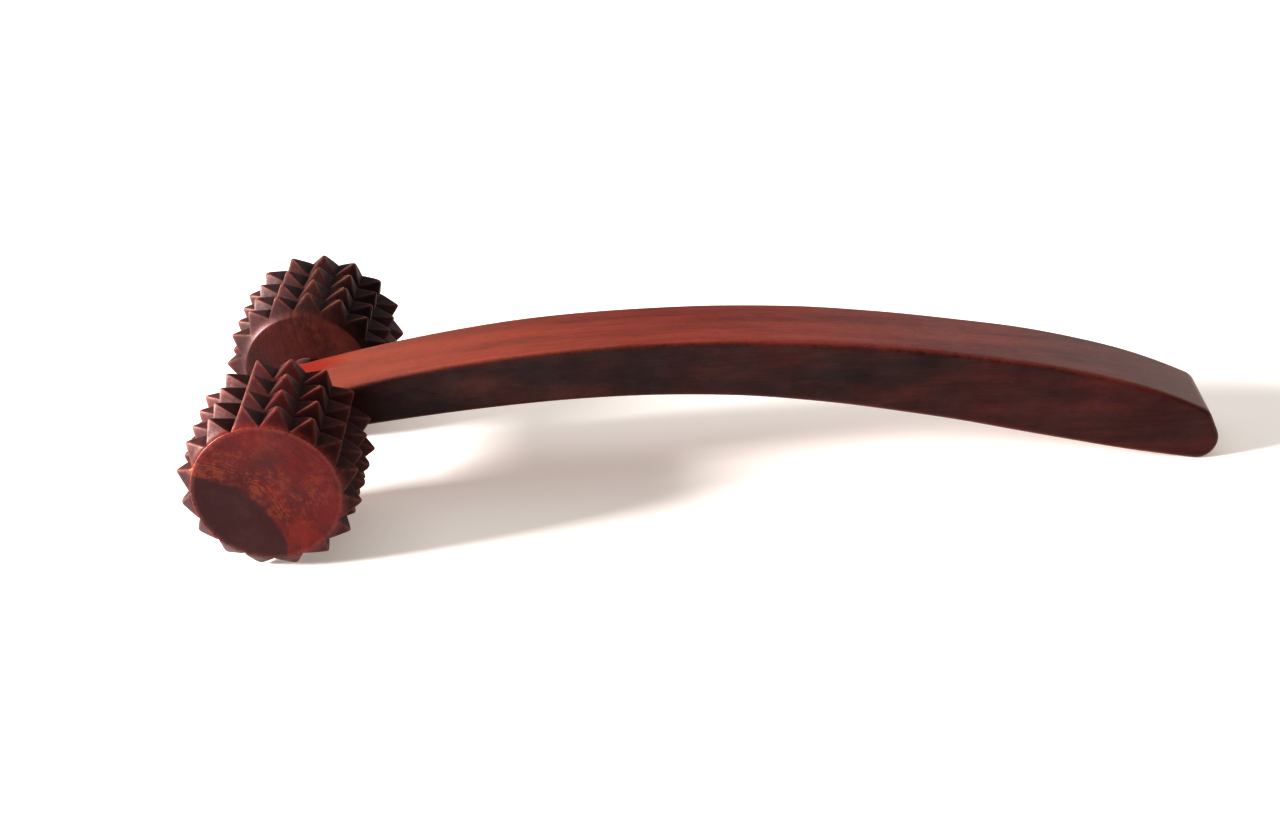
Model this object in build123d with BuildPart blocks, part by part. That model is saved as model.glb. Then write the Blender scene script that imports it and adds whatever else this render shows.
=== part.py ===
"""A hand-held foot massage roller: a curved wooden handle that carries two toothed rollers.

Frame: +X runs along the handle from the rollers to the tail, +Y across it, and +Z up.
The origin is on the ground, under the middle of the whole object.
The wheelset is the two rollers on one axle. It turns freely in a cross bore through the handle's head.
"""

from build123d import *
import os
from math import cos, radians, sin, tan

os.makedirs("parts", exist_ok=True)

# ---- Driving dimensions, in millimetres and degrees ----

# Toothed rollers
tip_radius = 22.5  # over the points of the teeth
row_count = 16  # rows of teeth around a roller
ring_count = 4  # rings of teeth along a roller
ring_pitch = 8.0
ring_groove_depth = 5.0  # the V grooves turned around the roller
row_groove_angle = 96.0  # the V grooves cut along it
tooth_land = 0.4  # width of the flat that is left on each point
outer_bevel = 3.85  # from an end face to the crest of the ring next to it
inner_bevel = 3.2
outer_face_radius = 18.2
inner_face_radius = 16.5
front_turn = 2.75  # how far each roller is turned from resting evenly on two rows
rear_turn = -3.75

# Axle and spacers
axle_radius = 2.5
running_clearance = 0.1  # radial, around the axle
bore_depth = 22.0  # blind, into each roller's inner face
spacer_radius = 5.0
spacer_thickness = 4.5
end_play = 0.3  # between each spacer and its roller

# Handle
handle_thickness = 22.0
head_radius = 5.6  # rounded end around the axle
head_slope = 12.5  # how steeply the handle leaves the head
edge_radius = 1.6
nose_radius = 5.5  # the tail's lower corner, which rests on the ground
nose_x = 231.8  # its centre, from the axle
nose_slope = 10.0  # how steeply the underside comes down to the nose
tail_lean = 22.0  # how far the end of the tail leans back from upright
tail_slope = 29.0  # how steeply the top comes down to the end
tail_top_z = 13.6
tail_corner_radius = 5.0

# The handle's upper and lower outlines between head and tail: along from the axle, up from the ground
top_points = [(33.0, 34.9), (80.0, 39.7), (124.5, 39.1), (170.0, 33.3), (209.0, 24.3)]
underside_points = [(32.0, 21.5), (78.0, 25.0), (124.0, 22.8), (170.0, 14.1), (208.0, 4.8)]

# ---- Derived sizes and places ----

row_step = 360.0 / row_count
roller_length = inner_bevel + (ring_count - 1) * ring_pitch + outer_bevel
inner_face_y = handle_thickness / 2 + spacer_thickness + end_play
outer_face_y = inner_face_y + roller_length
ring_valley_radius = tip_radius - ring_groove_depth

# The row grooves leave a star. Its points lie above the tips, so each tooth keeps its land.
groove_slope = tan(radians(row_groove_angle / 2))
row_half_angle = radians(row_step / 2)
land_corner_angle = row_half_angle - tooth_land / 2 / tip_radius
row_valley_radius = tip_radius * (cos(land_corner_angle) - sin(land_corner_angle) / groove_slope)
star_radius = row_valley_radius / (cos(row_half_angle) - sin(row_half_angle) / groove_slope)


def row_angles(turn):
    """The angle of each row of teeth, from the top towards the tail, for a roller with this turn."""
    return [row_step * (row + 0.5) + turn for row in range(row_count)]


all_row_angles = row_angles(front_turn) + row_angles(rear_turn)
roller_reach = max(abs(sin(radians(angle))) for angle in all_row_angles) * tip_radius
axle_z = max(abs(cos(radians(angle))) for angle in all_row_angles) * tip_radius
axle_x = (roller_reach - nose_x - nose_radius) / 2

wheel_axis = Axis((axle_x, 0, axle_z), (0, 1, 0))


def side_plane(y):
    """An upright plane across the axle at this Y, with its own x along +X and its own y up."""
    return Plane(origin=(axle_x, y, axle_z), x_dir=(1, 0, 0), z_dir=(0, -1, 0))


def toothed_roller(label, side, turn):
    """A turned roller with V grooves around it and along it, and a blind bore for the axle.

    side is -1 for the roller on the -Y side of the handle, and +1 for the one on the +Y side.
    """
    ridge_profile = [(inner_face_y, 0), (inner_face_y, inner_face_radius)]
    for ring in range(ring_count):
        crest_y = inner_face_y + inner_bevel + ring * ring_pitch
        ridge_profile.append((crest_y - tooth_land / 2, tip_radius))
        ridge_profile.append((crest_y + tooth_land / 2, tip_radius))
        if ring < ring_count - 1:
            ridge_profile.append((crest_y + ring_pitch / 2, ring_valley_radius))
    ridge_profile += [(outer_face_y, outer_face_radius), (outer_face_y, 0)]

    star = []
    for angle in row_angles(turn):
        for radius, at in ((star_radius, angle), (row_valley_radius, angle + row_step / 2)):
            star.append((radius * sin(radians(at)), radius * cos(radians(at))))

    with BuildPart() as roller:
        profile_plane = Plane(origin=(axle_x, 0, axle_z), x_dir=(0, side, 0), z_dir=(side, 0, 0))
        with BuildSketch(profile_plane):
            with BuildLine():
                Polyline(ridge_profile, close=True)
            make_face()
        revolve(axis=wheel_axis)
        with BuildSketch(side_plane(0)):
            with BuildLine():
                Polyline(star, close=True)
            make_face()
        extrude(amount=2 * outer_face_y, both=True, mode=Mode.INTERSECT)
        with Locations(Plane(origin=(axle_x, side * inner_face_y, axle_z), z_dir=(0, -side, 0))):
            Hole(radius=axle_radius, depth=bore_depth)
    roller.part.label = label
    return roller.part


front_roller = toothed_roller("front_roller", side=-1, turn=front_turn)
rear_roller = toothed_roller("rear_roller", side=1, turn=rear_turn)

# Axle: one straight rod, fixed in both rollers' blind bores
with BuildPart() as axle:
    with BuildSketch(side_plane(0)):
        Circle(axle_radius)
    extrude(amount=inner_face_y + bore_depth, both=True)
    chamfer(axle.edges().filter_by(GeomType.CIRCLE), length=0.5)
axle.part.label = "axle"


def spacer(label, side):
    """A washer on the axle, between the handle's side and a roller's inner face."""
    with BuildPart() as washer:
        with BuildSketch(side_plane(side * handle_thickness / 2)):
            Circle(spacer_radius)
            Circle(axle_radius + running_clearance, mode=Mode.SUBTRACT)
        extrude(amount=-side * spacer_thickness)
    washer.part.label = label
    return washer.part


front_spacer = spacer("front_spacer", side=-1)
rear_spacer = spacer("rear_spacer", side=1)

# Handle: one curved bar with a rounded head, a deeper tail and eased edges
head_top = (-head_radius * sin(radians(head_slope)), axle_z + head_radius * cos(radians(head_slope)))
head_back = (-head_radius, axle_z)
head_low = (head_radius * sin(radians(head_slope)), axle_z - head_radius * cos(radians(head_slope)))
nose_low = (
    nose_x - nose_radius * sin(radians(nose_slope)),
    nose_radius - nose_radius * cos(radians(nose_slope)),
)
nose_front = (nose_x + nose_radius * sin(radians(45)), nose_radius - nose_radius * cos(radians(45)))
nose_up = (
    nose_x + nose_radius * cos(radians(tail_lean)),
    nose_radius + nose_radius * sin(radians(tail_lean)),
)
tail_top = (nose_up[0] - (tail_top_z - nose_up[1]) * tan(radians(tail_lean)), tail_top_z)
head_direction = (cos(radians(head_slope)), sin(radians(head_slope)))
tail_direction = (cos(radians(tail_slope)), -sin(radians(tail_slope)))
nose_direction = (cos(radians(nose_slope)), -sin(radians(nose_slope)))

with BuildPart() as handle:
    with BuildSketch(Plane(origin=(axle_x, 0, 0), x_dir=(1, 0, 0), z_dir=(0, -1, 0))) as outline:
        with BuildLine():
            ThreePointArc(head_low, head_back, head_top)
            Spline(head_top, *top_points, tail_top, tangents=(head_direction, tail_direction))
            Line(tail_top, nose_up)
            ThreePointArc(nose_up, nose_front, nose_low)
            Spline(head_low, *underside_points, nose_low, tangents=(head_direction, nose_direction))
        make_face()
        fillet(outline.vertices().sort_by_distance((tail_top[0], tail_top[1], 0))[0], tail_corner_radius)
    extrude(amount=handle_thickness / 2, both=True)
    sides = handle.faces().filter_by(Axis.Y)
    fillet(sides.edges(), edge_radius)
    with Locations(side_plane(0)):
        Hole(radius=axle_radius + running_clearance)
handle.part.label = "handle"

export_step(handle.part, "parts/handle.step")
export_step(axle.part, "parts/axle.step")
for piece in (front_roller, rear_roller, front_spacer, rear_spacer):
    export_step(piece, f"parts/{piece.label}.step")

print(f"axle at x {axle_x:.2f}, z {axle_z:.2f}")
print(f"valley of rows {row_valley_radius:.2f}, of rings {ring_valley_radius:.2f}")
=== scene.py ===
"""Foot massage roller: a curved rosewood handle with two toothed wooden rollers on one steel rod.

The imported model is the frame. The rollers, the handle and the spacers are drawn again here as
hand-cut, waxed wood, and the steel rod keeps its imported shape. Lengths are in metres and angles in
radians unless a name says degrees or mm. X runs along the handle, Y along the rod and Z is up.
"""
import math

import bmesh
import bpy
import numpy as np
from mathutils import Matrix, Vector


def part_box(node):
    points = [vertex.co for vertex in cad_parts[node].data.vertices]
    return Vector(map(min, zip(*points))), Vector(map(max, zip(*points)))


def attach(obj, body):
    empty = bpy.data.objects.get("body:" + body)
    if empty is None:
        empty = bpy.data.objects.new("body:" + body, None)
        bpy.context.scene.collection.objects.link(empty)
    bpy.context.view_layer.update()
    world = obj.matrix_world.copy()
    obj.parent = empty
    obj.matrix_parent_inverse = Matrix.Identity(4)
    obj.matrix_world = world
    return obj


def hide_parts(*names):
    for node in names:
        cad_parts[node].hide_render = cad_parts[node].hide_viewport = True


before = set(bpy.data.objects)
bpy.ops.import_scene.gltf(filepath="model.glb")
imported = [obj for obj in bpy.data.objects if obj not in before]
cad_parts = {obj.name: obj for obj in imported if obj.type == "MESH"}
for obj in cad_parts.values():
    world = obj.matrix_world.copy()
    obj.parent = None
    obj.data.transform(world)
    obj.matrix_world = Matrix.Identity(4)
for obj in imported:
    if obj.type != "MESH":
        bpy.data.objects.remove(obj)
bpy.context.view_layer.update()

MM = 0.001

# places read from the frame
axle_low, axle_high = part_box("axle")
axle_x = (axle_low[0] + axle_high[0]) / 2
axle_z = (axle_low[2] + axle_high[2]) / 2
rod_radius = (axle_high[2] - axle_low[2]) / 2
rod_end_y = axle_high[1]

# rollers
row_count = 16
ring_count = 4
ring_pitch = 8.0 * MM
tip_radius = 22.5 * MM
tip_half_angle = math.radians(36.75)
tooth_land = 0.4 * MM
ring_valley_radius = 17.5 * MM
outer_face_radius = 18.2 * MM
inner_face_radius = 16.5 * MM
outer_bevel = 3.85 * MM
inner_bevel = 3.2 * MM
rim_ease = 0.25 * MM
outer_slope = (tip_radius - outer_face_radius) / outer_bevel
inner_slope = (tip_radius - inner_face_radius) / inner_bevel
levels = 8                      # samples down each tooth flank
outer_face_circles = np.array([3.0, 6.5, 10.0, 13.0, 15.5, 17.0]) * MM
inner_face_circles = np.array([15.0, 12.0, 9.0, 6.0, 4.0]) * MM
blind_bore_clearance = 0.02 * MM
blind_bore_lip = 0.25 * MM
front_turn, front_twist = math.radians(2.75), math.radians(-2.5)
rear_turn, rear_twist = math.radians(-3.75), math.radians(-1.5)

# how far the knife strayed from a perfect division
row_stray = math.radians(0.45)
row_skew = math.radians(0.5)
groove_stray = 0.22 * MM
tip_wear = 0.42 * MM            # the most that a tip is worn down
least_wear = 0.15               # the least, as a share of the most before squaring
crease_ease = 0.16 * MM

# handle
head_radius = 5.6 * MM
head_slope = math.radians(12.5)
edge_radius = 1.3 * MM
nose_radius = 5.5 * MM
nose_x = 231.8 * MM
nose_slope = math.radians(10.0)
tail_lean = math.radians(22.0)
tail_slope = math.radians(29.0)
tail_top_z = 13.6 * MM
tail_corner_radius = 5.0 * MM
bore_clearance = 0.1 * MM
side_samples = 430              # points along each side outline
side_fill = 10                  # quads across each flat side
handle_stray = 0.09 * MM
handle_stray_length = 38 * MM
# outlines: x from the rod, z from the ground
top_points = np.array([(33.0, 34.9), (80.0, 39.7), (124.5, 39.1), (170.0, 33.3),
                       (209.0, 24.3)]) * MM
underside_points = np.array([(32.0, 21.5), (78.0, 25.0), (124.0, 22.8), (170.0, 14.1),
                             (208.0, 4.8)]) * MM


# ---------------------------------------------------------------- mesh tools

def make_piece(name, points, faces, masks=None, sharp_degrees=35.0):
    """A mesh object from an array of points and a list of face index arrays (triangles or quads).

    masks is a dict of one value per point, stored as attributes for the materials."""
    mesh = bpy.data.meshes.new(name)
    mesh.from_pydata(points.tolist(), [], [face for block in faces for face in block.tolist()])
    for label, values in (masks or {}).items():
        layer = mesh.attributes.new(label, "FLOAT", "POINT")
        layer.data.foreach_set("value", np.ascontiguousarray(values, dtype=np.float32))
    mesh.polygons.foreach_set("use_smooth", np.ones(len(mesh.polygons), dtype=bool))
    mesh.set_sharp_from_angle(angle=math.radians(sharp_degrees))
    mesh.update()
    piece = bpy.data.objects.new(name, mesh)
    bpy.context.scene.collection.objects.link(piece)
    return piece


def grid_quads(index, wrap):
    """Quads between neighbouring rows and columns of a 2-D array of point numbers.

    With wrap, the last column joins the first, so each row is a closed loop."""
    if wrap:
        index = np.concatenate([index, index[:, :1]], axis=1)
    quads = np.stack([index[:-1, :-1], index[:-1, 1:], index[1:, 1:], index[1:, :-1]], axis=-1)
    return quads.reshape(-1, 4)


def ridge_triangles(index, height):
    """Two triangles for each cell of a wrapped grid, split along the diagonal that stands higher.

    A ridge between two cut flanks then runs along triangle edges and stays crisp."""
    index = np.concatenate([index, index[:, :1]], axis=1)
    height = np.concatenate([height, height[:, :1]], axis=1)
    a, b, c, d = index[:-1, :-1], index[:-1, 1:], index[1:, 1:], index[1:, :-1]
    first = height[:-1, :-1] + height[1:, 1:] >= height[:-1, 1:] + height[1:, :-1]
    one = np.where(first[..., None], np.stack([a, b, c], -1), np.stack([a, b, d], -1))
    two = np.where(first[..., None], np.stack([a, c, d], -1), np.stack([b, c, d], -1))
    return np.concatenate([one.reshape(-1, 3), two.reshape(-1, 3)])


def fan(centre, loop):
    """Triangles that join one centre point to each step of a closed loop."""
    return np.stack([np.full(len(loop), centre), np.roll(loop, -1), loop], axis=-1)


def soft_min(a, b, ease):
    """The smaller of two surfaces, with the crease where they cross eased over the given length."""
    return (a + b - np.sqrt((a - b) ** 2 + ease ** 2)) / 2


def close_outwards(piece):
    """Recalculates the normals of a closed mesh so that every face points out."""
    work = bmesh.new()
    work.from_mesh(piece.data)
    bmesh.ops.recalc_face_normals(work, faces=work.faces)
    work.to_mesh(piece.data)
    work.free()


# ---------------------------------------------------------------- rollers

def flank_offsets():
    """Angles from a tooth's middle at which its straight flank has come down to each level.

    The flank leaves the tip's small land at the tip's half angle, so a radius r on it lies at
    arcsin(c / r) minus the half angle. Levels run evenly from the tip to the groove's bottom."""
    c = tooth_land / 2 * math.cos(tip_half_angle) + tip_radius * math.sin(tip_half_angle)
    bottom = c / math.sin(math.pi / row_count + tip_half_angle)
    radii = np.linspace(tip_radius, bottom, levels + 1)
    return np.arcsin(np.minimum(c / radii, 1.0)) - tip_half_angle, radii, c


def row_columns(turn, seed):
    """Angle, radius and row number of each line of points that runs along the roller.

    Each row of teeth has its own middle, a little off the even division. The lines lie at the
    flank's levels on both sides of it and meet in the groove halfway to the next row."""
    random = np.random.default_rng(seed)
    offsets, _, c = flank_offsets()
    share = offsets / offsets[-1]
    middle = 2 * np.pi * (np.arange(row_count) + 0.5) / row_count + turn
    middle = middle + random.uniform(-row_stray, row_stray, row_count)
    after = (np.roll(middle, -1) - middle) % (2 * np.pi) / 2
    before = np.roll(after, 1)
    left = middle[:, None] - before[:, None] * share[::-1][None, :]
    right = middle[:, None] + after[:, None] * share[None, :-1]
    angle = np.concatenate([left, right], axis=1)
    offset = np.abs(angle - middle[:, None])
    radius = np.minimum(c / np.sin(offset + tip_half_angle), tip_radius)
    number = np.repeat(np.arange(row_count), angle.shape[1])
    return angle.ravel(), radius.ravel(), number, middle


def ring_lines():
    """Distance from the outer face, radius and ring number of each circle of points.

    The turned profile climbs the outer bevel, then drops into and climbs out of a groove between
    each two rings, then falls down the inner bevel. Its flanks are straight, and they have
    points at the same levels as the rows, so the tooth ridges run through points."""
    _, radii, _ = flank_offsets()
    down_groove = np.append(radii, ring_valley_radius)
    down_outer = radii[:-1]
    down_inner = np.append(radii, inner_face_radius + rim_ease * inner_slope)
    depth = tip_radius - ring_valley_radius
    half = ring_pitch / 2 - tooth_land / 2
    places, heights, numbers = [], [], []
    for ring in range(ring_count):
        tip = outer_bevel + ring * ring_pitch
        if ring == 0:
            run = (tip_radius - down_outer) / (tip_radius - outer_face_radius) * outer_bevel
            up_place, up_height = tip - tooth_land / 2 - run[::-1], down_outer[::-1]
        else:
            run = (tip_radius - down_groove[:-1]) / depth * half
            up_place, up_height = tip - tooth_land / 2 - run[::-1], down_groove[:-1][::-1]
        if ring == ring_count - 1:
            run = (tip_radius - down_inner) / (tip_radius - inner_face_radius) * inner_bevel
            down_place, down_height = tip + run, down_inner
        else:
            run = (tip_radius - down_groove) / depth * half
            down_place, down_height = tip + tooth_land / 2 + run, down_groove
        places += [up_place, down_place]
        heights += [up_height, down_height]
        numbers += [np.full(len(up_place) + len(down_place), ring)]
    return np.concatenate(places), np.concatenate(heights), np.concatenate(numbers)


def slow_wander(random, count, along, size):
    """One slow curve per row: a few sine waves of random phase along the roller, within size."""
    phase = random.uniform(0, 2 * np.pi, (count, 3))
    waves = np.sin(along[None, :, None] * np.array([2.0, 5.0, 11.0]) + phase[:, None, :])
    return size * (waves * np.array([0.5, 0.3, 0.2])).sum(axis=2)


def roller_masks(radius, gap, from_face, length):
    """Masks of where a roller's wood is painted paler, as wear and as a highlight, and where shade
    is painted into its grooves.

    Wear is high on the ridges, where the gap between the two cuts is small, on the tips and a
    little on the outer rim; on the ridges it is partly a painted highlight. Groove is high low down
    between the teeth, where the material paints shade."""
    ridge_width, rim_width, rim_reach = 0.6 * MM, 0.5 * MM, 1.2 * MM
    tip_start, tip_band, rim_share = 0.82, 0.14, 0.3
    toothed = (from_face > rim_ease) & (from_face < length - rim_ease)
    height = np.clip((radius - ring_valley_radius) / (tip_radius - ring_valley_radius), 0, 1)
    # the ridges are painted pale: partly wear, partly a painted highlight where the window light
    # catches them
    ridge = np.where(toothed, np.exp(-(gap / ridge_width) ** 2) * np.clip(height * 1.3, 0, 1), 0)
    tip = np.where(toothed, np.clip((height - tip_start) / tip_band, 0, 1), 0)
    rim = np.exp(-((radius - outer_face_radius) / rim_width) ** 2) * (from_face < rim_reach)
    wear = np.clip(np.maximum(np.maximum(ridge, tip), rim * rim_share), 0, 1)
    inset = np.minimum(from_face, length - from_face)
    groove = np.clip(1.2 - height / 1.4, 0, 1) * np.clip((inset - 0.4 * MM) / (1.0 * MM), 0, 1)
    return wear, groove


def toothed_roller(name, outer_y, inner_y, turn, twist, seed):
    """A hand-cut roller: the radius is the smaller of the turned rings and the lengthwise rows.

    Points lie on circles along a path that starts at the outer face's centre, climbs over the
    teeth, comes down to the inner face and goes into the blind bore for the rod."""
    random = np.random.default_rng(seed)
    angle, row_radius, row_number, middle = row_columns(turn, seed)
    place, ring_radius, ring_number = ring_lines()
    length = abs(inner_y - outer_y)
    inward = np.sign(inner_y - outer_y)
    bore_radius = rod_radius + blind_bore_clearance
    bore_depth = abs(abs(rod_end_y) - abs(inner_y))

    rim_turn = np.linspace(0, np.pi / 2, 4)
    outer_rim = outer_face_radius - rim_ease + rim_ease * (1 + outer_slope) * np.sin(rim_turn)
    outer_rim_place = rim_ease - rim_ease * np.cos(rim_turn)
    inner_rim = inner_face_radius - rim_ease + rim_ease * (1 + inner_slope) * np.cos(rim_turn)[1:]
    inner_rim_place = length - rim_ease + rim_ease * np.sin(rim_turn)[1:]
    bore_path_radius = [bore_radius + blind_bore_lip, bore_radius, bore_radius, bore_radius]
    bore_path_place = [length, length - blind_bore_lip, length - bore_depth / 2,
                       length - bore_depth]

    path_radius = np.concatenate([outer_face_circles, outer_rim, ring_radius, inner_rim,
                                  inner_face_circles, bore_path_radius])
    path_place = np.concatenate([
        np.zeros(len(outer_face_circles)), outer_rim_place, place, inner_rim_place,
        np.full(len(inner_face_circles), length), bore_path_place])
    before_teeth = len(outer_face_circles) + len(outer_rim)
    after_teeth = len(path_radius) - before_teeth - len(ring_number)
    ring_of_line = np.concatenate([np.zeros(before_teeth, int), ring_number,
                                   np.full(after_teeth, ring_count - 1)])

    along = path_place / length
    share = (row_radius - row_radius.min()) / (tip_radius - row_radius.min())
    depth_wander = slow_wander(random, row_count, along, groove_stray)
    skew = random.uniform(-row_skew, row_skew, row_count)
    worn_off = random.uniform(least_wear, 1.0, (row_count, ring_count)) ** 2 * tip_wear

    rows = row_radius[None, :] + depth_wander[row_number].T * (1 - share)[None, :]
    rings = np.broadcast_to(path_radius[:, None], rows.shape)
    cap = tip_radius - worn_off[row_number][:, ring_of_line].T
    from_face = path_place[:, None] * np.ones_like(rows)
    radius = soft_min(soft_min(rings, rows, crease_ease), cap, crease_ease)

    shift = np.interp(angle, middle, skew, period=2 * np.pi)
    turned = angle[None, :] + twist * along[:, None] + shift[None, :] * (along[:, None] - 0.5)
    x = axle_x + radius * np.sin(turned)
    z = axle_z + radius * np.cos(turned)
    y = outer_y + inward * from_face
    points = np.stack([x, y, z], axis=-1).reshape(-1, 3)
    lines, columns = radius.shape
    index = np.arange(lines * columns).reshape(lines, columns)
    outer_centre = len(points)
    bore_centre = outer_centre + 1
    points = np.vstack([points, [axle_x, outer_y, axle_z], [axle_x, y[-1, 0], axle_z]])

    faces = [ridge_triangles(index, radius), fan(outer_centre, index[0]),
             fan(bore_centre, index[-1])[:, ::-1]]
    # groove marks where the material paints shade; on the ridges, wear is partly a painted highlight
    wear, groove = roller_masks(radius, np.abs(rings - rows), from_face, length)
    masks = {"wear": np.append(wear.ravel(), [0, 0]), "groove": np.append(groove.ravel(), [0, 0])}
    piece = make_piece(name, points, faces, masks, sharp_degrees=38.0)
    close_outwards(piece)
    return piece


# ---------------------------------------------------------------- handle

def smooth_through(points, start_slope, end_slope, samples):
    """A smooth line through the points, with even curvature across each of them.

    Between two points it is a cubic. The slopes at the points come from one set of linear
    equations, in which the second derivative is the same on both sides of every inner point."""
    x, z = points.T
    gap = np.diff(x)
    rise = 3 * np.diff(z) / gap ** 2
    system = np.diag(np.r_[1.0, 2 * (1 / gap[:-1] + 1 / gap[1:]), 1.0])
    system += np.diag(np.r_[1 / gap[:-1], 0.0], -1) + np.diag(np.r_[0.0, 1 / gap[1:]], 1)
    slope = np.linalg.solve(system, np.r_[start_slope, rise[:-1] + rise[1:], end_slope])
    at = np.linspace(x[0], x[-1], samples)
    k = np.clip(np.searchsorted(x, at, side="right") - 1, 0, len(gap) - 1)
    t = (at - x[k]) / gap[k]
    height = ((1 + 2 * t) * (1 - t) ** 2 * z[k] + t * (1 - t) ** 2 * gap[k] * slope[k]
              + t ** 2 * (3 - 2 * t) * z[k + 1] + t ** 2 * (t - 1) * gap[k] * slope[k + 1])
    return np.stack([at, height], axis=-1)


def arc(centre, radius, start, end, samples):
    """Points on a circle arc in the XZ plane; angles are measured from +Z towards +X."""
    turn = np.linspace(start, end, samples)
    return np.stack([centre[0] + radius * np.sin(turn), centre[1] + radius * np.cos(turn)], axis=-1)


def evenly(points, count):
    """The same line with its points spread evenly along its length."""
    run = np.r_[0.0, np.cumsum(np.linalg.norm(np.diff(points, axis=0), axis=1))]
    at = np.linspace(0, run[-1], count)
    return np.stack([np.interp(at, run, points[:, k]) for k in range(2)], axis=-1)


def handle_outlines(samples):
    """The handle's upper and lower side outlines, x from the rod, both from head to nose.

    They start together at the back of the round head and meet in the blunt nose. The tail's top
    comes down a slanted end face, through a rounded corner, to the nose's arc."""
    head = np.array([0.0, axle_z])
    head_top = head + head_radius * np.array([-math.sin(head_slope), math.cos(head_slope)])
    head_low = 2 * head - head_top
    nose = np.array([nose_x, nose_radius])
    nose_up_x = nose_x + nose_radius * math.cos(tail_lean)
    nose_up_z = nose_radius + nose_radius * math.sin(tail_lean)
    tail_top = np.array([nose_up_x - (tail_top_z - nose_up_z) * math.tan(tail_lean), tail_top_z])
    nose_low = nose - nose_radius * np.array([math.sin(nose_slope), math.cos(nose_slope)])

    curve_steps, head_steps, chin_steps, corner_steps, nose_steps = 500, 30, 40, 24, 60
    top = smooth_through(np.vstack([head_top, top_points, tail_top]),
                         math.tan(head_slope), -math.tan(tail_slope), curve_steps)
    underside = smooth_through(np.vstack([head_low, underside_points, nose_low]),
                               math.tan(head_slope), -math.tan(nose_slope), curve_steps)
    end_turn = math.pi / 2 - tail_lean
    reach = tail_corner_radius * math.tan((end_turn - tail_slope) / 2)
    corner_centre = (tail_top + reach * np.array([-math.cos(tail_slope), math.sin(tail_slope)])
                     - tail_corner_radius * np.array([math.sin(tail_slope), math.cos(tail_slope)]))
    corner = arc(corner_centre, tail_corner_radius, tail_slope, end_turn, corner_steps)
    nose_arc = arc(nose, nose_radius, end_turn, math.pi + nose_slope, nose_steps)
    nose_middle = 24            # the step of the nose's arc where the two outlines meet
    before_corner = top[:, 0] < corner[0, 0] - 0.3 * MM
    upper = np.vstack([arc(head, head_radius, -math.pi / 2, -head_slope, head_steps)[:-1],
                       top[before_corner], corner, nose_arc[:nose_middle + 1]])
    lower = np.vstack([
        arc(head, head_radius, -math.pi / 2, -math.pi - head_slope, chin_steps)[:-1],
        underside[:-1], nose_arc[nose_middle:][::-1]])
    return evenly(upper, samples), evenly(lower, samples)


def hand_worked(points, size, wavelength, seed):
    """Moves the points by a slow, even wander in all three directions, as handwork leaves it.

    The wander is a sum of six sine waves of the place, with random directions and phases."""
    random = np.random.default_rng(seed)
    waves = 6
    direction = random.normal(size=(waves, 3))
    direction /= np.linalg.norm(direction, axis=1)[:, None]
    turns = 2 * np.pi / (wavelength * random.uniform(0.6, 1.6, waves))
    phase = (points @ direction.T) * turns + random.uniform(0, 2 * np.pi, waves)
    return points + size * np.sin(phase) @ random.normal(size=(waves, 3)) / 3


def carved_handle(name):
    """The handle: its side outline carried across the wood, with eased edges and flat sides.

    The closed outline is repeated at steps across the thickness. At both edges it is drawn in by
    a quarter circle. Each flat side joins every upper point to the lower one opposite it."""
    upper, lower = handle_outlines(side_samples)
    loop = np.vstack([upper, lower[1:-1][::-1]])
    along = np.roll(loop, -1, axis=0) - np.roll(loop, 1, axis=0)
    along /= np.linalg.norm(along, axis=1)[:, None]
    inward = np.stack([along[:, 1], -along[:, 0]], axis=-1)
    low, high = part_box("handle")
    half = (high[1] - low[1]) / 2

    turn = np.linspace(0, np.pi / 2, 6)
    broad = half - edge_radius
    beside = 0.5 * MM           # a strip beside each edge, level with the flat face it borders
    flat = np.r_[-broad + beside, np.linspace(-broad, broad, 14)[1:-1], broad - beside]
    y_line = np.r_[-half, -broad - edge_radius * np.cos(turn), flat,
                   broad + edge_radius * np.sin(turn), half]
    inset = np.r_[edge_radius + beside, edge_radius * (1 - np.sin(turn)), np.zeros(len(flat)),
                  edge_radius * (1 - np.cos(turn)), edge_radius + beside]
    edge = np.r_[0.0, np.sin(2 * turn) ** 0.5, np.zeros(len(flat)), np.sin(2 * turn) ** 0.5, 0.0]
    outline = loop[None] + inward[None] * inset[:, None, None]
    band = np.stack([axle_x + outline[..., 0], np.broadcast_to(y_line[:, None], outline.shape[:2]),
                     outline[..., 1]], axis=-1)
    lines, count = band.shape[:2]
    index = np.arange(lines * count).reshape(lines, count)
    points = [band.reshape(-1, 3)]
    wear = [np.repeat(edge, count)]
    # side: where the flat sides are; the handle's material paints shade there
    side = [np.repeat(np.clip(inset / edge_radius * 1.8, 0, 1), count)]
    faces = [grid_quads(index, wrap=True)]

    share = np.linspace(0, 1, side_fill + 1)[1:-1]
    first = lines * count
    for line in (0, -1):
        above = band[line, 1:side_samples - 1]
        below = band[line, side_samples:][::-1]
        between = above[:, None] * (1 - share)[:, None] + below[:, None] * share[:, None]
        inner = first + np.arange(between.shape[0] * len(share)).reshape(-1, len(share))
        across = np.column_stack([index[line, 1:side_samples - 1], inner,
                                  index[line, side_samples:][::-1]])
        back, nose = index[line, 0], index[line, side_samples - 1]
        faces += [grid_quads(across, wrap=False)]
        for tip, row in ((back, across[0]), (nose, across[-1])):
            faces += [np.stack([np.full(len(row) - 1, tip), row[:-1], row[1:]], axis=-1)]
        points += [between.reshape(-1, 3)]
        wear += [np.zeros(between.shape[0] * len(share))]
        side += [np.ones(between.shape[0] * len(share))]
        first += between.shape[0] * len(share)

    points = hand_worked(np.vstack(points), handle_stray, handle_stray_length, seed=3)
    masks = {"wear": np.concatenate(wear), "side": np.concatenate(side)}
    piece = make_piece(name, points, faces, masks, sharp_degrees=40.0)
    close_outwards(piece)
    drill(piece, rod_radius + bore_clearance)
    return piece


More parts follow.
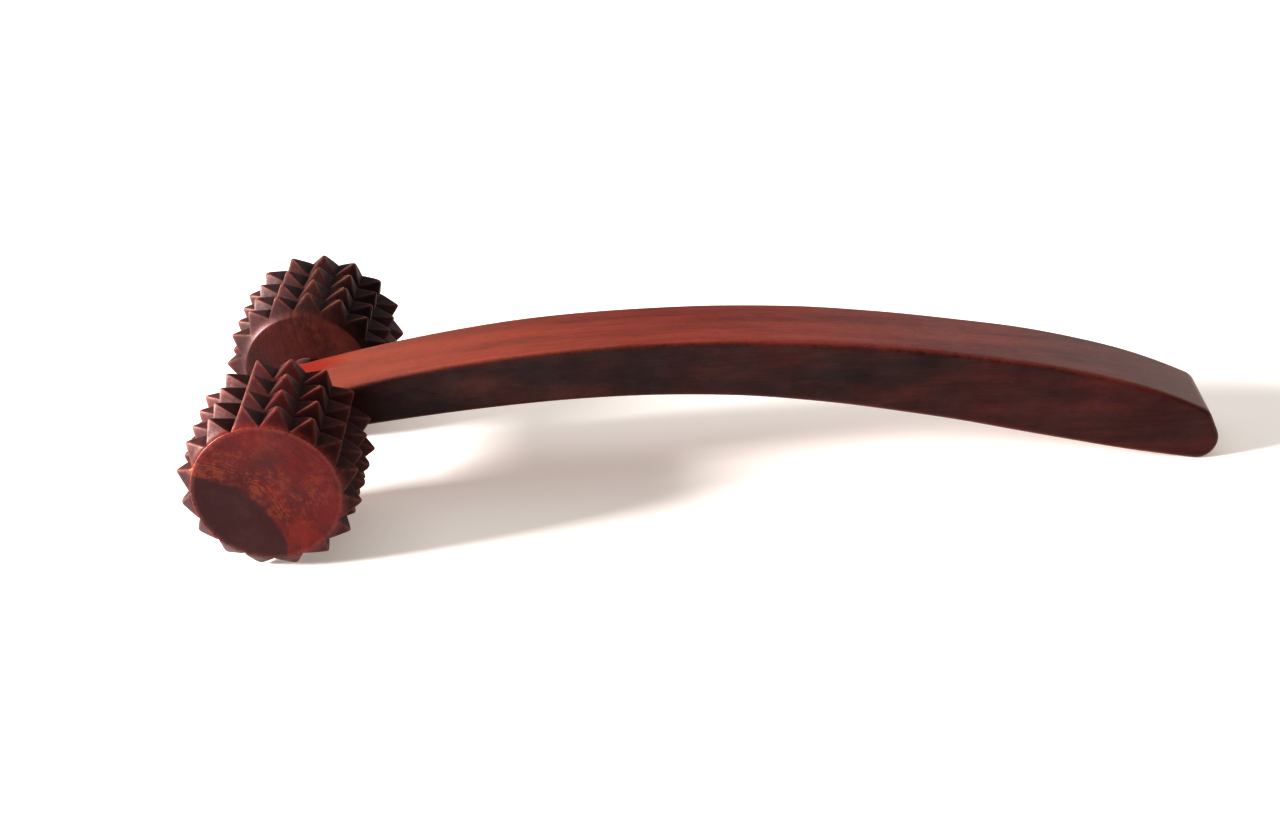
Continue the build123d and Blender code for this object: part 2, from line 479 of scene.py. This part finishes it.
def drill(piece, radius):
    """Cuts the rod's bore through the piece, along Y, and keeps the result in its mesh."""
    turn = np.linspace(0, 2 * np.pi, 48, endpoint=False)
    past_both_sides = 40 * MM
    ends = np.array([-1.0, 1.0]) * past_both_sides
    ring = np.stack([axle_x + radius * np.sin(turn), 0 * turn, axle_z + radius * np.cos(turn)], -1)
    points = np.concatenate([ring + np.array([0, end, 0]) for end in ends])
    index = np.arange(len(points)).reshape(2, -1)
    centres = np.array([[axle_x, end, axle_z] for end in ends])
    faces = [grid_quads(index, wrap=True), fan(len(points), index[0]),
             fan(len(points) + 1, index[1])]
    bit = make_piece("drill_bit", np.vstack([points, centres]), faces)
    close_outwards(bit)
    cut = piece.modifiers.new("bore", "BOOLEAN")
    cut.operation, cut.solver, cut.object = "DIFFERENCE", "EXACT", bit
    bpy.context.view_layer.update()
    finished = piece.evaluated_get(bpy.context.evaluated_depsgraph_get())
    drilled = bpy.data.meshes.new_from_object(finished)
    piece.modifiers.clear()
    piece.data = drilled
    bpy.data.objects.remove(bit)


# ---------------------------------------------------------------- spacers

def turned_spacer(name, node):
    """A wooden washer: a small closed profile carried once round the rod.

    The profile runs from the bore over both faces, with eased rims and a barely crowned edge."""
    low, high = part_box(node)
    outer = (high[0] - low[0]) / 2
    bore = rod_radius + bore_clearance
    middle, half = (low[1] + high[1]) / 2, (high[1] - low[1]) / 2
    ease, lip, crown_height = 0.45 * MM, 0.3 * MM, 0.12 * MM
    turn = np.linspace(0, np.pi / 2, 5)
    crown = np.linspace(-1, 1, 7)[1:-1]
    radius = np.r_[bore, bore + lip, outer - ease + ease * np.sin(turn) - crown_height,
                   outer - crown_height * crown ** 2,
                   outer - ease + ease * np.cos(turn) - crown_height, bore + lip, bore]
    place = np.r_[-half + lip, -half, -half + ease - ease * np.cos(turn), (half - ease) * crown,
                  half - ease + ease * np.sin(turn), half, half - lip]
    around = np.linspace(0, 2 * np.pi, 72, endpoint=False)
    x = axle_x + radius[:, None] * np.sin(around)
    z = axle_z + radius[:, None] * np.cos(around)
    y = np.broadcast_to(middle + place[:, None], x.shape)
    index = np.arange(x.size).reshape(x.shape)
    closed = np.vstack([index, index[:1]])
    wear = np.clip((radius - outer + 0.5 * MM) / (0.5 * MM), 0, 1) * (np.abs(place) > half * 0.7)
    piece = make_piece(name, np.stack([x, y, z], axis=-1).reshape(-1, 3),
                       [grid_quads(closed, wrap=True)],
                       {"wear": np.repeat(wear, x.shape[1])}, sharp_degrees=50.0)
    close_outwards(piece)
    return piece


# ---------------------------------------------------------------- node tools

WHITE, GREY, BLACK = (1, 1, 1, 1), (0.5, 0.5, 0.5, 1), (0, 0, 0, 1)
COLOUR, VALUE, VECTOR = "NodeSocketColor", "NodeSocketFloat", "NodeSocketVector"
# where a Mix node keeps its colour sockets
MIX_A, MIX_B, MIX_RESULT = 6, 7, 2


def add(tree, kind, inputs=None, **settings):
    """Adds a node. settings are its own properties; inputs are values, or sockets to link from."""
    made = tree.nodes.new(kind)
    for key, value in settings.items():
        setattr(made, key, value)
    for key, value in (inputs or {}).items():
        if isinstance(value, bpy.types.NodeSocket):
            tree.links.new(value, made.inputs[key])
        else:
            made.inputs[key].default_value = value
    return made


def math_node(tree, operation, *values, clamp=False):
    """One arithmetic step; returns its output socket."""
    return add(tree, "ShaderNodeMath", dict(enumerate(values)), operation=operation,
               use_clamp=clamp).outputs[0]


def plus(tree, a, b):
    """The sum of two values."""
    return math_node(tree, "ADD", a, b)


def minus(tree, a, b):
    """The first value less the second."""
    return math_node(tree, "SUBTRACT", a, b)


def times(tree, a, b, clamp=False):
    """The product of two values, held between 0 and 1 with clamp."""
    return math_node(tree, "MULTIPLY", a, b, clamp=clamp)


def swing(tree, cloud, size):
    """A cloud of 0 to 1 moved to lie evenly about zero, and scaled to the given size."""
    return times(tree, minus(tree, cloud, 0.5), size)


def mix_colour(tree, factor, a, b, blend="MIX"):
    """Mixes two colours and returns the result's socket."""
    return add(tree, "ShaderNodeMix", {"Factor": factor, MIX_A: a, MIX_B: b}, data_type="RGBA",
               blend_type=blend).outputs[MIX_RESULT]


def spread(tree, value, low, high, to_low=0.0, to_high=1.0):
    """Maps a value's range smoothly to another, and holds it at the ends."""
    return add(tree, "ShaderNodeMapRange", {"Value": value, "From Min": low, "From Max": high,
                                            "To Min": to_low, "To Max": to_high},
               interpolation_type="SMOOTHSTEP").outputs[0]


def noise(tree, place, scale, detail=3.0, roughness=0.55):
    """Soft random cloud of the place; returns its value socket."""
    return add(tree, "ShaderNodeTexNoise", {"Vector": place, "Scale": scale, "Detail": detail,
                                            "Roughness": roughness}).outputs["Fac"]


def squeeze(tree, place, x, y, z):
    """The place with each direction scaled."""
    return add(tree, "ShaderNodeVectorMath", {0: place, 1: (x, y, z)},
               operation="MULTIPLY").outputs[0]


def grain_cloud(tree, trunk, along, scale, detail=3.0, roughness=0.55):
    """A cloud drawn out along the trunk: the smaller along is, the longer its streaks."""
    return noise(tree, squeeze(tree, trunk, 1, 1, along), scale, detail, roughness)


def from_trunk_middle(tree, trunk):
    """The distance from the trunk's middle, which is the Z axis of the trunk's own place."""
    return add(tree, "ShaderNodeVectorMath", {0: squeeze(tree, trunk, 1, 1, 0)},
               operation="LENGTH").outputs["Value"]


def srgb(red, green, blue):
    """A colour given in the usual 0 to 255 steps, as the linear values that nodes take."""
    steps = np.array([red, green, blue]) / 255
    linear = np.where(steps <= 0.04045, steps / 12.92, ((steps + 0.055) / 1.055) ** 2.4)
    return (*linear.tolist(), 1.0)


def new_group(name, inputs, outputs):
    """An empty shader node group with named sockets; returns it with its entry and exit nodes."""
    group = bpy.data.node_groups.new(name, "ShaderNodeTree")
    for label, kind, value in inputs:
        socket = group.interface.new_socket(name=label, in_out="INPUT", socket_type=kind)
        if value is not None:
            socket.default_value = value
    for label, kind in outputs:
        group.interface.new_socket(name=label, in_out="OUTPUT", socket_type=kind)
    return group, group.nodes.new("NodeGroupInput"), group.nodes.new("NodeGroupOutput")


def join(tree, node, results):
    """Links each socket of the results to the node's input of that name."""
    for label, socket in results.items():
        tree.links.new(socket, node.inputs[label])


# ---------------------------------------------------------------- shared effects

def build_rosewood():
    """Rosewood figure. The place comes in with the trunk's middle on its Z axis, in metres.

    Growth rings are an uneven cloud of the distance from that axis, bent by slow waves. Dark
    veins and fine fibres are clouds drawn out along the trunk, and pores are short dark dashes."""
    group, given, out = new_group("rosewood_figure", [
        ("Place", VECTOR, None), ("Pale", COLOUR, WHITE), ("Middle", COLOUR, GREY),
        ("Dark", COLOUR, BLACK), ("Ring Width", VALUE, 0.002), ("Ring Strength", VALUE, 0.3),
        ("Vein Strength", VALUE, 0.5), ("Pore Strength", VALUE, 0.5)],
        [("Color", COLOUR), ("Pores", VALUE), ("Relief", VALUE)])
    asked = given.outputs
    place = asked["Place"]
    slow = grain_cloud(group, place, 0.16, 75.0, 2.0)
    bent = plus(group, from_trunk_middle(group, place), swing(group, slow, 6.0 * MM))
    ring = math_node(group, "DIVIDE", bent, asked["Ring Width"])
    depth = add(group, "ShaderNodeSeparateXYZ", {0: place}).outputs["Z"]
    ring_place = add(group, "ShaderNodeCombineXYZ",
                     {"X": ring, "Y": times(group, depth, 9.0)}).outputs[0]
    rings = spread(group, noise(group, ring_place, 1.0, 3.0, 0.6), 0.32, 0.68)
    veins = spread(group, grain_cloud(group, place, 0.045, 520.0, 4.0, 0.62), 0.46, 0.7)
    fibre = grain_cloud(group, place, 0.03, 2600.0, 3.0, 0.6)
    clouds = grain_cloud(group, place, 0.13, 70.0, 3.0, 0.6)
    pores = spread(group, grain_cloud(group, place, 0.09, 5200.0, 1.0, 0.5), 0.62, 0.72)

    figure = plus(group, times(group, rings, asked["Ring Strength"]), times(group, clouds, 0.85))
    figure = spread(group, plus(group, figure, swing(group, fibre, 0.5)), 0.22, 0.95)
    lower = mix_colour(group, spread(group, figure, 0.0, 0.5), asked["Dark"], asked["Middle"])
    base = mix_colour(group, spread(group, figure, 0.45, 1.0), lower, asked["Pale"])
    veined = mix_colour(group, times(group, veins, asked["Vein Strength"]), base, asked["Dark"])
    nearly_black = (0.004, 0.001, 0.001, 1)
    pore_colour = mix_colour(group, 0.7, asked["Dark"], nearly_black)
    pitted = mix_colour(group, times(group, pores, asked["Pore Strength"]), veined, pore_colour)
    relief = minus(group, times(group, fibre, 0.35), pores)
    join(group, out, {"Color": pitted, "Pores": pores, "Relief": relief})
    return group


def build_handled():
    """Marks of handling and painted light: edges rubbed paler, darker grooves, a broken-up gloss.

    Wear and Groove are masks from 0 to 1; a cloud of the place breaks both up. Groove paints shade
    into the grooves and makes them duller and less waxed. On the rollers' ridges Wear is partly a
    painted highlight."""
    group, given, out = new_group("handled", [
        ("Place", VECTOR, None), ("Color", COLOUR, GREY), ("Wear", VALUE, 0.0),
        ("Wear Color", COLOUR, WHITE), ("Groove", VALUE, 0.0), ("Groove Color", COLOUR, BLACK),
        ("Pores", VALUE, 0.0), ("Gloss", VALUE, 0.4)],
        [("Color", COLOUR), ("Roughness", VALUE), ("Wax", VALUE)])
    asked = given.outputs
    fleck = noise(group, asked["Place"], 900.0, 4.0, 0.65)
    smudge = noise(group, asked["Place"], 110.0, 4.0, 0.6)
    # wear, and on the rollers' ridges also a painted highlight
    wear_and_highlight = times(group, asked["Wear"], spread(group, fleck, 0.3, 0.55), clamp=True)
    # painted shade: the grooves darkened, and made duller and less waxed
    groove_shade = times(group, asked["Groove"], spread(group, fleck, 0.2, 0.62, 0.35, 1.0), clamp=True)
    colour = mix_colour(group, times(group, wear_and_highlight, 0.6), asked["Color"], asked["Wear Color"])
    colour = mix_colour(group, times(group, groove_shade, 0.7), colour, asked["Groove Color"])

    rough = plus(group, asked["Gloss"], swing(group, smudge, 0.3))
    rough = plus(group, rough, times(group, asked["Pores"], 0.2))
    rough = plus(group, rough, times(group, groove_shade, 0.22))
    rough = minus(group, rough, times(group, wear_and_highlight, 0.05))
    smoothest = 0.18
    wax = times(group, spread(group, smudge, 0.35, 0.75, 0.0, 0.25), minus(group, 1.0, groove_shade))
    join(group, out, {"Color": colour, "Wax": wax,
                      "Roughness": math_node(group, "MAXIMUM", rough, smoothest)})
    return group


rosewood_figure = build_rosewood()
handled = build_handled()


# ---------------------------------------------------------------- materials

def new_material(name):
    """An empty material and its tree, with the Principled shader joined to the output."""
    material = bpy.data.materials.new(name)
    material.use_nodes = True
    tree = material.node_tree
    tree.nodes.clear()
    shader = tree.nodes.new("ShaderNodeBsdfPrincipled")
    output = tree.nodes.new("ShaderNodeOutputMaterial")
    tree.links.new(shader.outputs[0], output.inputs["Surface"])
    return material, tree, shader


def use_group(tree, group, inputs):
    """Places a node group in a material with this material's own values."""
    return add(tree, "ShaderNodeGroup", inputs, node_tree=group)


def mask(tree, label):
    """The value of one of the piece's own masks."""
    return add(tree, "ShaderNodeAttribute", attribute_name=label).outputs["Fac"]


def object_place(tree):
    """Where a point lies on the object, in metres."""
    return add(tree, "ShaderNodeTexCoord").outputs["Object"]


def turned_place(tree, place, move, x_degrees, y_degrees=0.0):
    """The place turned about X, then Y, and then moved: from the object's frame to the trunk's."""
    return add(tree, "ShaderNodeMapping", {
        "Vector": place, "Location": move,
        "Rotation": (math.radians(x_degrees), math.radians(y_degrees), 0.0)}).outputs[0]


def bump(tree, height, distance, strength, under=None):
    """A fine relief in the surface, laid over another one if given."""
    inputs = {"Height": height, "Distance": distance, "Strength": strength}
    if under:
        inputs["Normal"] = under
    return add(tree, "ShaderNodeBump", inputs).outputs[0]


def wax_finish(tree, shader, marks, normal, coat_roughness, specular, sheen):
    """Joins handled wood to the shader, under broken wax and with the dry sheen of open pores."""
    join(tree, shader, {"Base Color": marks.outputs["Color"], "Normal": normal,
                        "Roughness": marks.outputs["Roughness"],
                        "Coat Weight": marks.outputs["Wax"]})
    shader.inputs["Coat Roughness"].default_value = coat_roughness
    shader.inputs["Specular IOR Level"].default_value = specular
    shader.inputs["Sheen Weight"].default_value = sheen
    shader.inputs["Sheen Roughness"].default_value = 0.45


def handle_wood():
    """Waxed rosewood with its grain along the handle, with painted light: a lighter, redder head and
    a paler painted reflection on the tail's top.

    The trunk's middle lies above and behind the handle, so the rings cross it as long straight
    bands. The flat sides carry painted shade, and shallow tool marks run across the handle."""
    material, tree, shader = new_material("rosewood_handle")
    place = object_place(tree)
    trunk = turned_place(tree, place, (55 * MM, -30 * MM, 0.0), 2.0, -90.0)
    wood = use_group(tree, rosewood_figure, {
        "Place": trunk, "Pale": srgb(146, 68, 52), "Middle": srgb(124, 52, 40),
        "Dark": srgb(90, 35, 30), "Ring Width": 3.2 * MM, "Ring Strength": 0.2,
        "Vein Strength": 0.16, "Pore Strength": 0.5})
    spot = add(tree, "ShaderNodeSeparateXYZ", {0: place})
    along = minus(tree, spot.outputs["X"], axle_x)
    ragged = noise(tree, squeeze(tree, place, 0.35, 1, 1), 140.0, 4.0, 0.6)

    # painted light: the head painted lighter and warmer where the window light falls on it, and a
    # painted red-orange glow at its back edge
    painted_head_light = spread(tree, along, 0.13, 0.01, 0.0, 0.5)
    colour = mix_colour(tree, painted_head_light, wood.outputs["Color"], srgb(141, 86, 69))
    towards_back = times(tree, spot.outputs["Y"], -1.2)
    painted_head_glow = plus(tree, plus(tree, along, towards_back), swing(tree, ragged, 30 * MM))
    painted_head_glow = spread(tree, painted_head_glow, 7 * MM, -5 * MM, 0.0, 0.75)
    colour = mix_colour(tree, painted_head_glow, colour, srgb(132, 34, 20))

    # painted light: a paler painted reflection on the top at the tail, and painted shade on the flat
    # sides, lighter towards the tail
    flat_side = mask(tree, "side")
    painted_tail_reflection = times(tree, spread(tree, along, 0.165, 0.245, 0.0, 0.5), minus(tree, 1.0, flat_side))
    colour = mix_colour(tree, painted_tail_reflection, colour, srgb(138, 98, 86))
    shade = mix_colour(tree, spread(tree, along, 0.13, 0.23), srgb(86, 64, 98), srgb(130, 76, 90))
    shaded = mix_colour(tree, 1.0, colour, shade, "MULTIPLY")
    painted_side_shade = times(tree, flat_side, spread(tree, ragged, 0.3, 0.75, 1.0, 0.75))
    colour = mix_colour(tree, painted_side_shade, colour, shaded)

    marks = use_group(tree, handled, {
        "Place": place, "Color": colour, "Wear": times(tree, mask(tree, "wear"), 0.3),
        "Wear Color": srgb(146, 82, 66), "Pores": wood.outputs["Pores"], "Gloss": 0.43})
    tool_marks = noise(tree, squeeze(tree, place, 1.0, 0.2, 0.2), 330.0, 2.0)
    sanded = bump(tree, tool_marks, 0.08 * MM, 0.35)
    grain = bump(tree, wood.outputs["Relief"], 0.06 * MM, 0.4, sanded)
    wax_finish(tree, shader, marks, grain, coat_roughness=0.3, specular=0.3, sheen=0.04)
    return material


def roller_wood(name, trunk_middle, heart_radius, pale, middle, dark, heart, streak, glow_middle=None):
    """Waxed rosewood with its grain along the rod, so both faces show the trunk's end grain.

    trunk_middle is the trunk's middle as X and Z from the rod. Inside heart_radius of it the
    wood is near black, with a sharp wavy border; outside lie ochre streaks along the rings,
    which fade away from the border. The last argument, if given, is the middle of a ragged brighter
    red patch of painted glow, as X and Z from the rod."""
    material, tree, shader = new_material(name)
    place = object_place(tree)
    middle_x, middle_z = trunk_middle
    trunk = turned_place(tree, place, (-(axle_x + middle_x), axle_z + middle_z, 0.0), 90.0)
    wood = use_group(tree, rosewood_figure, {
        "Place": trunk, "Pale": pale, "Middle": middle, "Dark": dark, "Ring Width": 0.9 * MM,
        "Ring Strength": 0.16, "Vein Strength": 0.12, "Pore Strength": 0.22})
    wavy = swing(tree, grain_cloud(tree, trunk, 0.3, 130.0, 4.0, 0.6), 5 * MM)
    reach = plus(tree, from_trunk_middle(tree, trunk), wavy)

    patches = spread(tree, grain_cloud(tree, trunk, 0.4, 95.0), 0.36, 0.6)
    beyond = spread(tree, reach, heart_radius + 6 * MM, heart_radius + 28 * MM, 1.0, 0.0)
    ring_place = add(tree, "ShaderNodeCombineXYZ", {"X": times(tree, reach, 2100.0)}).outputs[0]
    fine_rings = spread(tree, noise(tree, ring_place, 1.0, 2.0), 0.3, 0.62)
    flecks = spread(tree, grain_cloud(tree, trunk, 0.1, 520.0, 3.0, 0.6), 0.4, 0.62)
    ochre = times(tree, times(tree, patches, beyond), times(tree, fine_rings, flecks))
    colour = mix_colour(tree, times(tree, ochre, 0.65), wood.outputs["Color"], streak)
    # painted glow: a ragged brighter red patch on the face
    if glow_middle:
        glow_place = (glow_middle[0] - middle_x, middle_z - glow_middle[1], 0.0)
        apart = add(tree, "ShaderNodeVectorMath",
                    {0: squeeze(tree, trunk, 1, 1, 0), 1: glow_place},
                    operation="DISTANCE").outputs["Value"]
        ragged = plus(tree, apart, times(tree, wavy, 3.0))
        colour = mix_colour(tree, spread(tree, ragged, 6.2 * MM, 1.5 * MM, 0.0, 0.36), colour,
                            srgb(138, 42, 26))
    border = 0.6 * MM
    inside = spread(tree, reach, heart_radius + border, heart_radius - border)
    colour = mix_colour(tree, times(tree, inside, 0.9), colour, heart)

    marks = use_group(tree, handled, {
        "Place": place, "Color": colour, "Wear": mask(tree, "wear"),
        # Wear Color: pale worn wood, and on the ridges a painted highlight
        "Wear Color": srgb(196, 124, 106), "Groove": mask(tree, "groove"),
        # Groove Color: painted shade in the grooves
        "Groove Color": srgb(34, 14, 15), "Pores": wood.outputs["Pores"], "Gloss": 0.42})
    knife_marks = noise(tree, squeeze(tree, place, 1.0, 0.35, 1.0), 420.0, 3.0)
    cut = bump(tree, knife_marks, 0.08 * MM, 0.4)
    grain = bump(tree, wood.outputs["Relief"], 0.04 * MM, 0.4, cut)
    wax_finish(tree, shader, marks, grain, coat_roughness=0.35, specular=0.25, sheen=0.12)
    return material


def brushed_rod():
    """Drawn steel: fine rings of scratches round the rod, and dull grey patches."""
    material, tree, shader = new_material("steel_rod")
    place = object_place(tree)
    scratch = noise(tree, squeeze(tree, place, 0.05, 1.0, 0.05), 9000.0, 3.0)
    patch = spread(tree, noise(tree, place, 300.0, 4.0), 0.35, 0.7)
    join(tree, shader, {
        "Base Color": mix_colour(tree, patch, srgb(176, 172, 166), srgb(120, 114, 108)),
        "Roughness": plus(tree, times(tree, scratch, 0.25), 0.2),
        "Normal": bump(tree, scratch, 0.02 * MM, 0.4)})
    shader.inputs["Metallic"].default_value = 1.0
    return material


def pale_floor():
    """Matt near-white floor with a trace of warm unevenness, glowing a little in its shadows."""
    material, tree, shader = new_material("pale_floor")
    uneven = noise(tree, object_place(tree), 3.0, 3.0)
    join(tree, shader, {
        "Base Color": mix_colour(tree, uneven, srgb(218, 216, 214), srgb(215, 214, 213)),
        "Roughness": spread(tree, uneven, 0.3, 0.7, 0.75, 0.9),
        "Emission Color": mix_colour(tree, uneven, srgb(216, 208, 200), srgb(214, 205, 196))})
    shader.inputs["Emission Strength"].default_value = 0.6
    shader.inputs["Specular IOR Level"].default_value = 0.2
    return material


# ---------------------------------------------------------------- the object

def finish_piece(piece, material, body, node):
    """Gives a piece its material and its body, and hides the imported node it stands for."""
    piece.data.materials.clear()
    piece.data.materials.append(material)
    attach(piece, body)
    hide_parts(node)


front_low, front_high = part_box("front_roller")
rear_low, rear_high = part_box("rear_roller")
front_wood = roller_wood("rosewood_front", trunk_middle=(-20.5 * MM, -16.8 * MM),
                         heart_radius=23.0 * MM, pale=srgb(120, 32, 28),
                         middle=srgb(102, 26, 27), dark=srgb(76, 23, 24),
                         heart=srgb(56, 20, 25), streak=srgb(140, 72, 42),
                         # the middle of the painted glow on the front face
                         glow_middle=(8.1 * MM, -12.7 * MM))
rear_wood = roller_wood("rosewood_rear", trunk_middle=(24.0 * MM, 15.0 * MM),
                        heart_radius=9.0 * MM, pale=srgb(110, 52, 45),
                        middle=srgb(89, 40, 37), dark=srgb(62, 29, 28),
                        heart=srgb(60, 30, 32), streak=srgb(120, 68, 50))

front = toothed_roller("front_toothed_roller", front_low[1], front_high[1], front_turn,
                       front_twist, seed=11)
finish_piece(front, front_wood, "wheelset", "front_roller")
rear = toothed_roller("rear_toothed_roller", rear_high[1], rear_low[1], rear_turn,
                      rear_twist, seed=23)
finish_piece(rear, rear_wood, "wheelset", "rear_roller")
grip = carved_handle("curved_handle")
finish_piece(grip, handle_wood(), "handle", "handle")
spacer_wood = roller_wood("rosewood_spacer", trunk_middle=(6.0 * MM, -9.0 * MM),
                          heart_radius=3.0 * MM, pale=srgb(112, 48, 40),
                          middle=srgb(88, 34, 32), dark=srgb(56, 24, 26),
                          heart=srgb(48, 22, 25), streak=srgb(118, 60, 40))
for side in ("front", "rear"):
    washer = turned_spacer(side + "_wooden_spacer", side + "_spacer")
    finish_piece(washer, spacer_wood, "handle", side + "_spacer")
steel = brushed_rod()
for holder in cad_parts["axle"].material_slots:
    holder.material = steel


# ---------------------------------------------------------------- floor, light and camera

def ground(half_width):
    """A flat square floor at the object's feet."""
    corners = np.array([[-1, -1, 0], [1, -1, 0], [1, 1, 0], [-1, 1, 0]]) * half_width
    floor = make_piece("floor", corners.astype(float), [np.array([[0, 1, 2, 3]])])
    floor.data.materials.append(pale_floor())


def softbox(name, direction, distance, width, height, power, colour=(1, 1, 1)):
    """A rectangular studio light at a distance in a direction from the object, facing it."""
    light = bpy.data.lights.new(name, "AREA")
    light.shape, light.size, light.size_y = "RECTANGLE", width, height
    light.energy, light.color = power, colour
    lamp = bpy.data.objects.new(name, light)
    away = Vector(direction).normalized()
    lamp.location = away * distance
    lamp.rotation_euler = away.to_track_quat("Z", "Y").to_euler()
    bpy.context.scene.collection.objects.link(lamp)


def place_camera(place, down, rightwards, tilt, focal_length):
    """The camera at a place, turned down from level and rightwards from +Y, in degrees.

    tilt raises its right side. focal_length is in mm, for a frame 36 mm wide."""
    pitch, yaw, roll = math.radians(down), math.radians(rightwards), math.radians(tilt)
    ahead = Vector((math.sin(yaw) * math.cos(pitch), math.cos(yaw) * math.cos(pitch),
                    -math.sin(pitch)))
    level = Vector((math.cos(yaw), -math.sin(yaw), 0))
    upright = level.cross(ahead)
    right = math.cos(roll) * level + math.sin(roll) * upright
    up = -math.sin(roll) * level + math.cos(roll) * upright
    lens = bpy.data.cameras.new("camera")
    lens.sensor_width, lens.lens = 36.0, focal_length
    lens.clip_start, lens.clip_end = 0.01, 20.0
    camera = bpy.data.objects.new("camera", lens)
    facing = Matrix((right, up, -ahead)).transposed().to_4x4()
    camera.matrix_world = Matrix.Translation(place) @ facing
    bpy.context.scene.collection.objects.link(camera)
    bpy.context.scene.camera = camera


def surround(strength):
    """An even, faintly warm white room."""
    world = bpy.data.worlds.new("room")
    world.use_nodes = True
    sky = world.node_tree.nodes["Background"]
    sky.inputs["Color"].default_value = (1.0, 0.985, 0.97, 1.0)
    sky.inputs["Strength"].default_value = strength
    bpy.context.scene.world = world


ground(half_width=9.0)
surround(strength=0.14)
softbox("window", direction=(-0.915, -0.225, 0.34), distance=3.0, width=0.6, height=0.5,
        power=330.0, colour=(1.0, 0.985, 0.965))
softbox("upper_window", direction=(-0.75, 0.25, 0.75), distance=3.2, width=2.6, height=2.6,
        power=14.0)
softbox("ceiling", direction=(0.0, 0.20, 1.0), distance=3.0, width=4.2, height=4.2, power=48.0)
softbox("back_wall", direction=(0.70, 0.85, 0.32), distance=3.2, width=4.0, height=1.6, power=27.0)
place_camera(place=(-0.002347, -0.437544, 0.255040), down=28.909, rightwards=-2.142, tilt=-3.464,
             focal_length=53.684)
bpy.context.scene.view_settings.view_transform = "Standard"
bpy.context.scene.view_settings.gamma = 0.7
